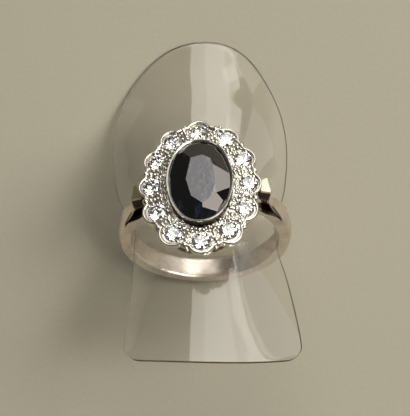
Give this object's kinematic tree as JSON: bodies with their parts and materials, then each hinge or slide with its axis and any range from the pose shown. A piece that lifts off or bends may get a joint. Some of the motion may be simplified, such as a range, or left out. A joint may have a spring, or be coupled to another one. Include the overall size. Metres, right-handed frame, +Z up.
{
  "type": "gold cluster ring on a clear display stand",
  "caption": "Oval sapphire and diamond cluster ring in two-colour gold, resting on the bent clear tongue that displays it.",
  "frame": {"origin": "middle of the bounding box's base, on the surface that the ring and its tongue rest on", "axes": "+Z up, +Y toward the tongue's rounded end and the way the head leans, +X across the finger hole, to the right when seen from the square end"},
  "size_m": [0.0217, 0.038, 0.0232],
  "materials": {
    "gold": "polished pale gold, yellower at the shoulders and the gallery",
    "sapphire": "polished facets, very dark blue",
    "diamond": "polished facets, colourless",
    "clear_plastic": "clear glossy sheet with faintly frosted cut edges"
  },
  "bodies": {
    "root": {"ring_metalwork": "gold", "sapphire": "sapphire", "display_tongue": "clear_plastic", "diamond_01": "diamond", "diamond_02": "diamond", "diamond_03": "diamond", "diamond_04": "diamond", "diamond_05": "diamond", "diamond_06": "diamond", "diamond_07": "diamond", "diamond_08": "diamond", "diamond_09": "diamond", "diamond_10": "diamond", "diamond_11": "diamond", "diamond_12": "diamond"}
  },
  "joints": []
}
